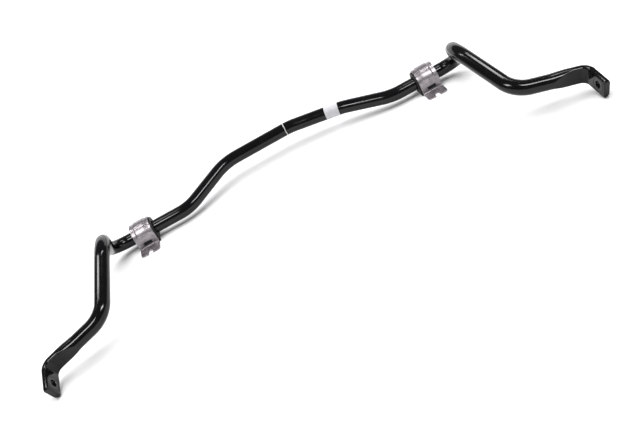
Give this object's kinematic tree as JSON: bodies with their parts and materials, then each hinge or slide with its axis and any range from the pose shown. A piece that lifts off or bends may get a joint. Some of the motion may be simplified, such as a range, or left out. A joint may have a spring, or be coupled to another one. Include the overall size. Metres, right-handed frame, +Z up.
{
  "type": "front stabilizer bar",
  "caption": "Bent and end-forged steel stabilizer (sway) bar for a car's front axle, with rubber-bushed saddle clamps and flattened link eyes.",
  "frame": {"origin": "middle of the part's footprint, on the plane that the clamp feet and the link eyes' lower edges rest on", "axes": "+X runs along the bar from the left link eye to the right one, -Y is the side the arms reach to, +Z is up from the clamp feet"},
  "size_m": [1.0038, 0.4293, 0.1243],
  "materials": {
    "bar": "gloss black coat",
    "strap": "satin phosphated",
    "bushing": "matte",
    "label": "matte",
    "line": "satin paint"
  },
  "bodies": {
    "bar": {"stabilizer_bar": "bar", "part_label": "label", "paint_line": "line"},
    "left_clamp": {"left_clamp_strap": "strap", "left_bushing": "bushing"},
    "right_clamp": {"right_clamp_strap": "strap", "right_bushing": "bushing"}
  },
  "joints": [
    {"name": "left_clamp_turn", "type": "hinge", "parent": "bar", "child": "left_clamp", "pos_m": [-0.3075, 0.1387, 0.021], "axis": [1, 0, 0], "range_deg": [-30, 30]},
    {"name": "right_clamp_turn", "type": "hinge", "parent": "bar", "child": "right_clamp", "pos_m": [0.3075, 0.1387, 0.021], "axis": [1, 0, 0], "range_deg": [-30, 30]}
  ]
}
